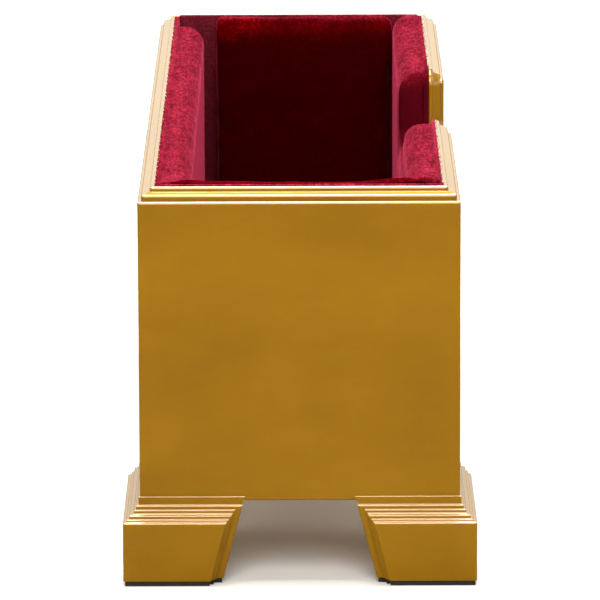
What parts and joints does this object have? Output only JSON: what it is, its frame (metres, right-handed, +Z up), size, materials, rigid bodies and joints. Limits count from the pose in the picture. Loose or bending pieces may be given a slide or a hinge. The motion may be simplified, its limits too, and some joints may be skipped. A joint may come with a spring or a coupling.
{
  "type": "velvet-lined presentation box",
  "caption": "Long open-topped gold-lacquered wooden box with stepped rim, side hand notch, crimson velvet pads and mitred bracket feet.",
  "frame": {"origin": "centre of the bounding box, on the floor under the rubber pads", "axes": "+Z up, +Y along the length, +X towards the long side with the hand notch"},
  "size_m": [0.199, 0.591, 0.226],
  "materials": {
    "gold_lacquer": "gloss lacquer",
    "fibreboard": "raw",
    "block_wood": "raw",
    "pad_rubber": "matte",
    "screw_steel": "zinc plated",
    "crimson_velvet": "velvet pile",
    "pad_foam": "open-cell foam"
  },
  "bodies": {
    "root": {"end_panel_near": "gold_lacquer", "end_panel_far": "gold_lacquer", "side_panel_plain": "gold_lacquer", "side_panel_notched": "gold_lacquer", "bottom_board": "fibreboard", "foot_near_left_end_leg": "gold_lacquer", "foot_near_left_side_leg": "gold_lacquer", "foot_near_right_end_leg": "gold_lacquer", "foot_near_right_side_leg": "gold_lacquer", "foot_far_left_end_leg": "gold_lacquer", "foot_far_left_side_leg": "gold_lacquer", "foot_far_right_end_leg": "gold_lacquer", "foot_far_right_side_leg": "gold_lacquer", "corner_block_near_left": "block_wood", "corner_block_near_right": "block_wood", "corner_block_far_left": "block_wood", "corner_block_far_right": "block_wood", "rubber_pad_near_left": "pad_rubber", "rubber_pad_near_right": "pad_rubber", "rubber_pad_far_left": "pad_rubber", "rubber_pad_far_right": "pad_rubber", "foot_screws": "screw_steel", "lining_left": "crimson_velvet", "lining_right": "crimson_velvet", "lining_near": "crimson_velvet", "lining_far": "crimson_velvet", "foam_left": "pad_foam", "foam_right": "pad_foam", "foam_near": "pad_foam", "foam_far": "pad_foam", "foam_floor": "pad_foam", "velvet_left": "crimson_velvet", "velvet_right": "crimson_velvet", "velvet_near": "crimson_velvet", "velvet_far": "crimson_velvet", "velvet_floor": "crimson_velvet"}
  },
  "joints": []
}
